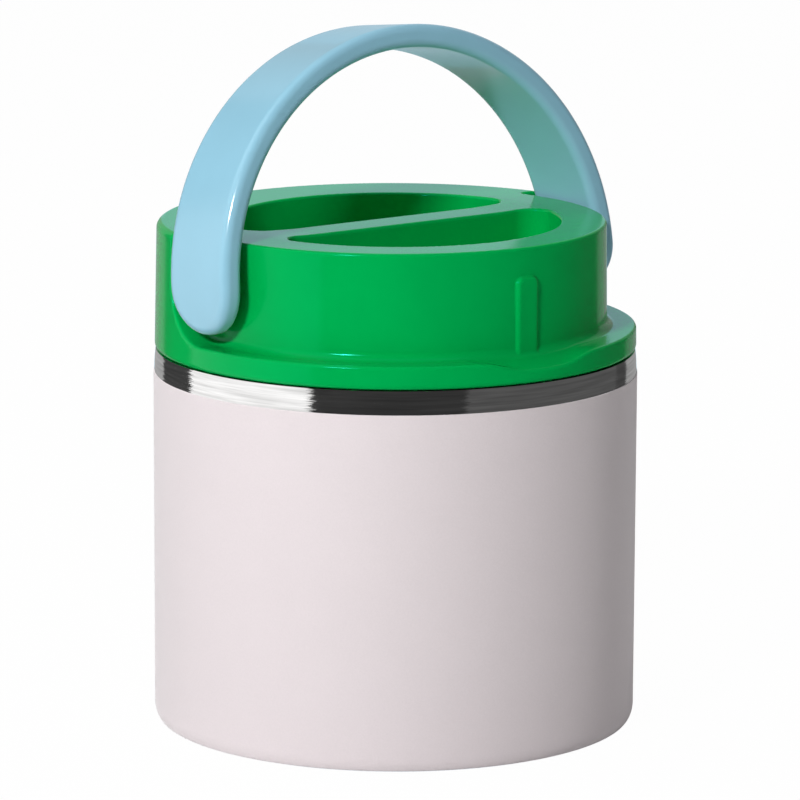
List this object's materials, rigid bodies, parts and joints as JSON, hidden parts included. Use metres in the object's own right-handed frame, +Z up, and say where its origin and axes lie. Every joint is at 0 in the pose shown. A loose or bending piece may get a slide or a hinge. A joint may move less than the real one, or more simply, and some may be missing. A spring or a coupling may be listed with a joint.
{
  "type": "insulated food jar",
  "caption": "Round double-wall food jar with a screw lid, finger recesses, grip bar and a swinging half-ring carry handle.",
  "frame": {"origin": "centre of the base on the plane that the jar stands on", "axes": "+Z up along the jar's axis, X along the handle's pivot axis, -Y the side that the handle folds down to"},
  "size_m": [0.1008, 0.1, 0.1448],
  "materials": {
    "shell_steel": "brushed round the body",
    "coat": "fine matt powder coat",
    "base_steel": "satin",
    "solder": "cast bead",
    "getter_metal": "sintered",
    "liner_steel": "satin, polished lip",
    "foil": "bright foil",
    "lid_plastic": "satin gloss moulding",
    "liner_plastic": "matt moulding",
    "foam": "closed-cell foam",
    "silicone": "translucent silicone",
    "handle_plastic": "smooth satin moulding",
    "pin_steel": "turned",
    "clip_steel": "stamped spring steel"
  },
  "bodies": {
    "jar": {"outer_shell": "shell_steel", "powder_coat": "coat", "outer_base": "base_steel", "base_cover": "base_steel", "vacuum_seal": "solder", "getter": "getter_metal", "inner_liner": "liner_steel", "radiation_foil": "foil"},
    "gasket": {"seal_gasket": "silicone"},
    "lid": {"lid_shell": "lid_plastic", "lid_liner": "liner_plastic", "lid_foam": "foam"},
    "handle": {"handle": "handle_plastic", "pivot_pin_left": "pin_steel", "pivot_pin_right": "pin_steel", "retaining_clip_left": "clip_steel", "retaining_clip_right": "clip_steel"}
  },
  "joints": [
    {"name": "lid_rise", "type": "slide", "parent": "jar", "child": "gasket", "axis": [0, 0, 1], "range_m": [0, 0.0121]},
    {"name": "lid_turn", "type": "hinge", "parent": "gasket", "child": "lid", "pos_m": [0, 0, 0.0888], "axis": [0, 0, 1], "range_deg": [0, 1080]},
    {"name": "handle_swing", "type": "hinge", "parent": "lid", "child": "handle", "pos_m": [0, -0.00025, 0.0953], "axis": [1, 0, 0], "range_deg": [-5.9, 96]}
  ],
  "couplings": [
    {"joint": "lid_rise", "follows": "lid_turn", "m_per_rad": 0.00063662}
  ]
}
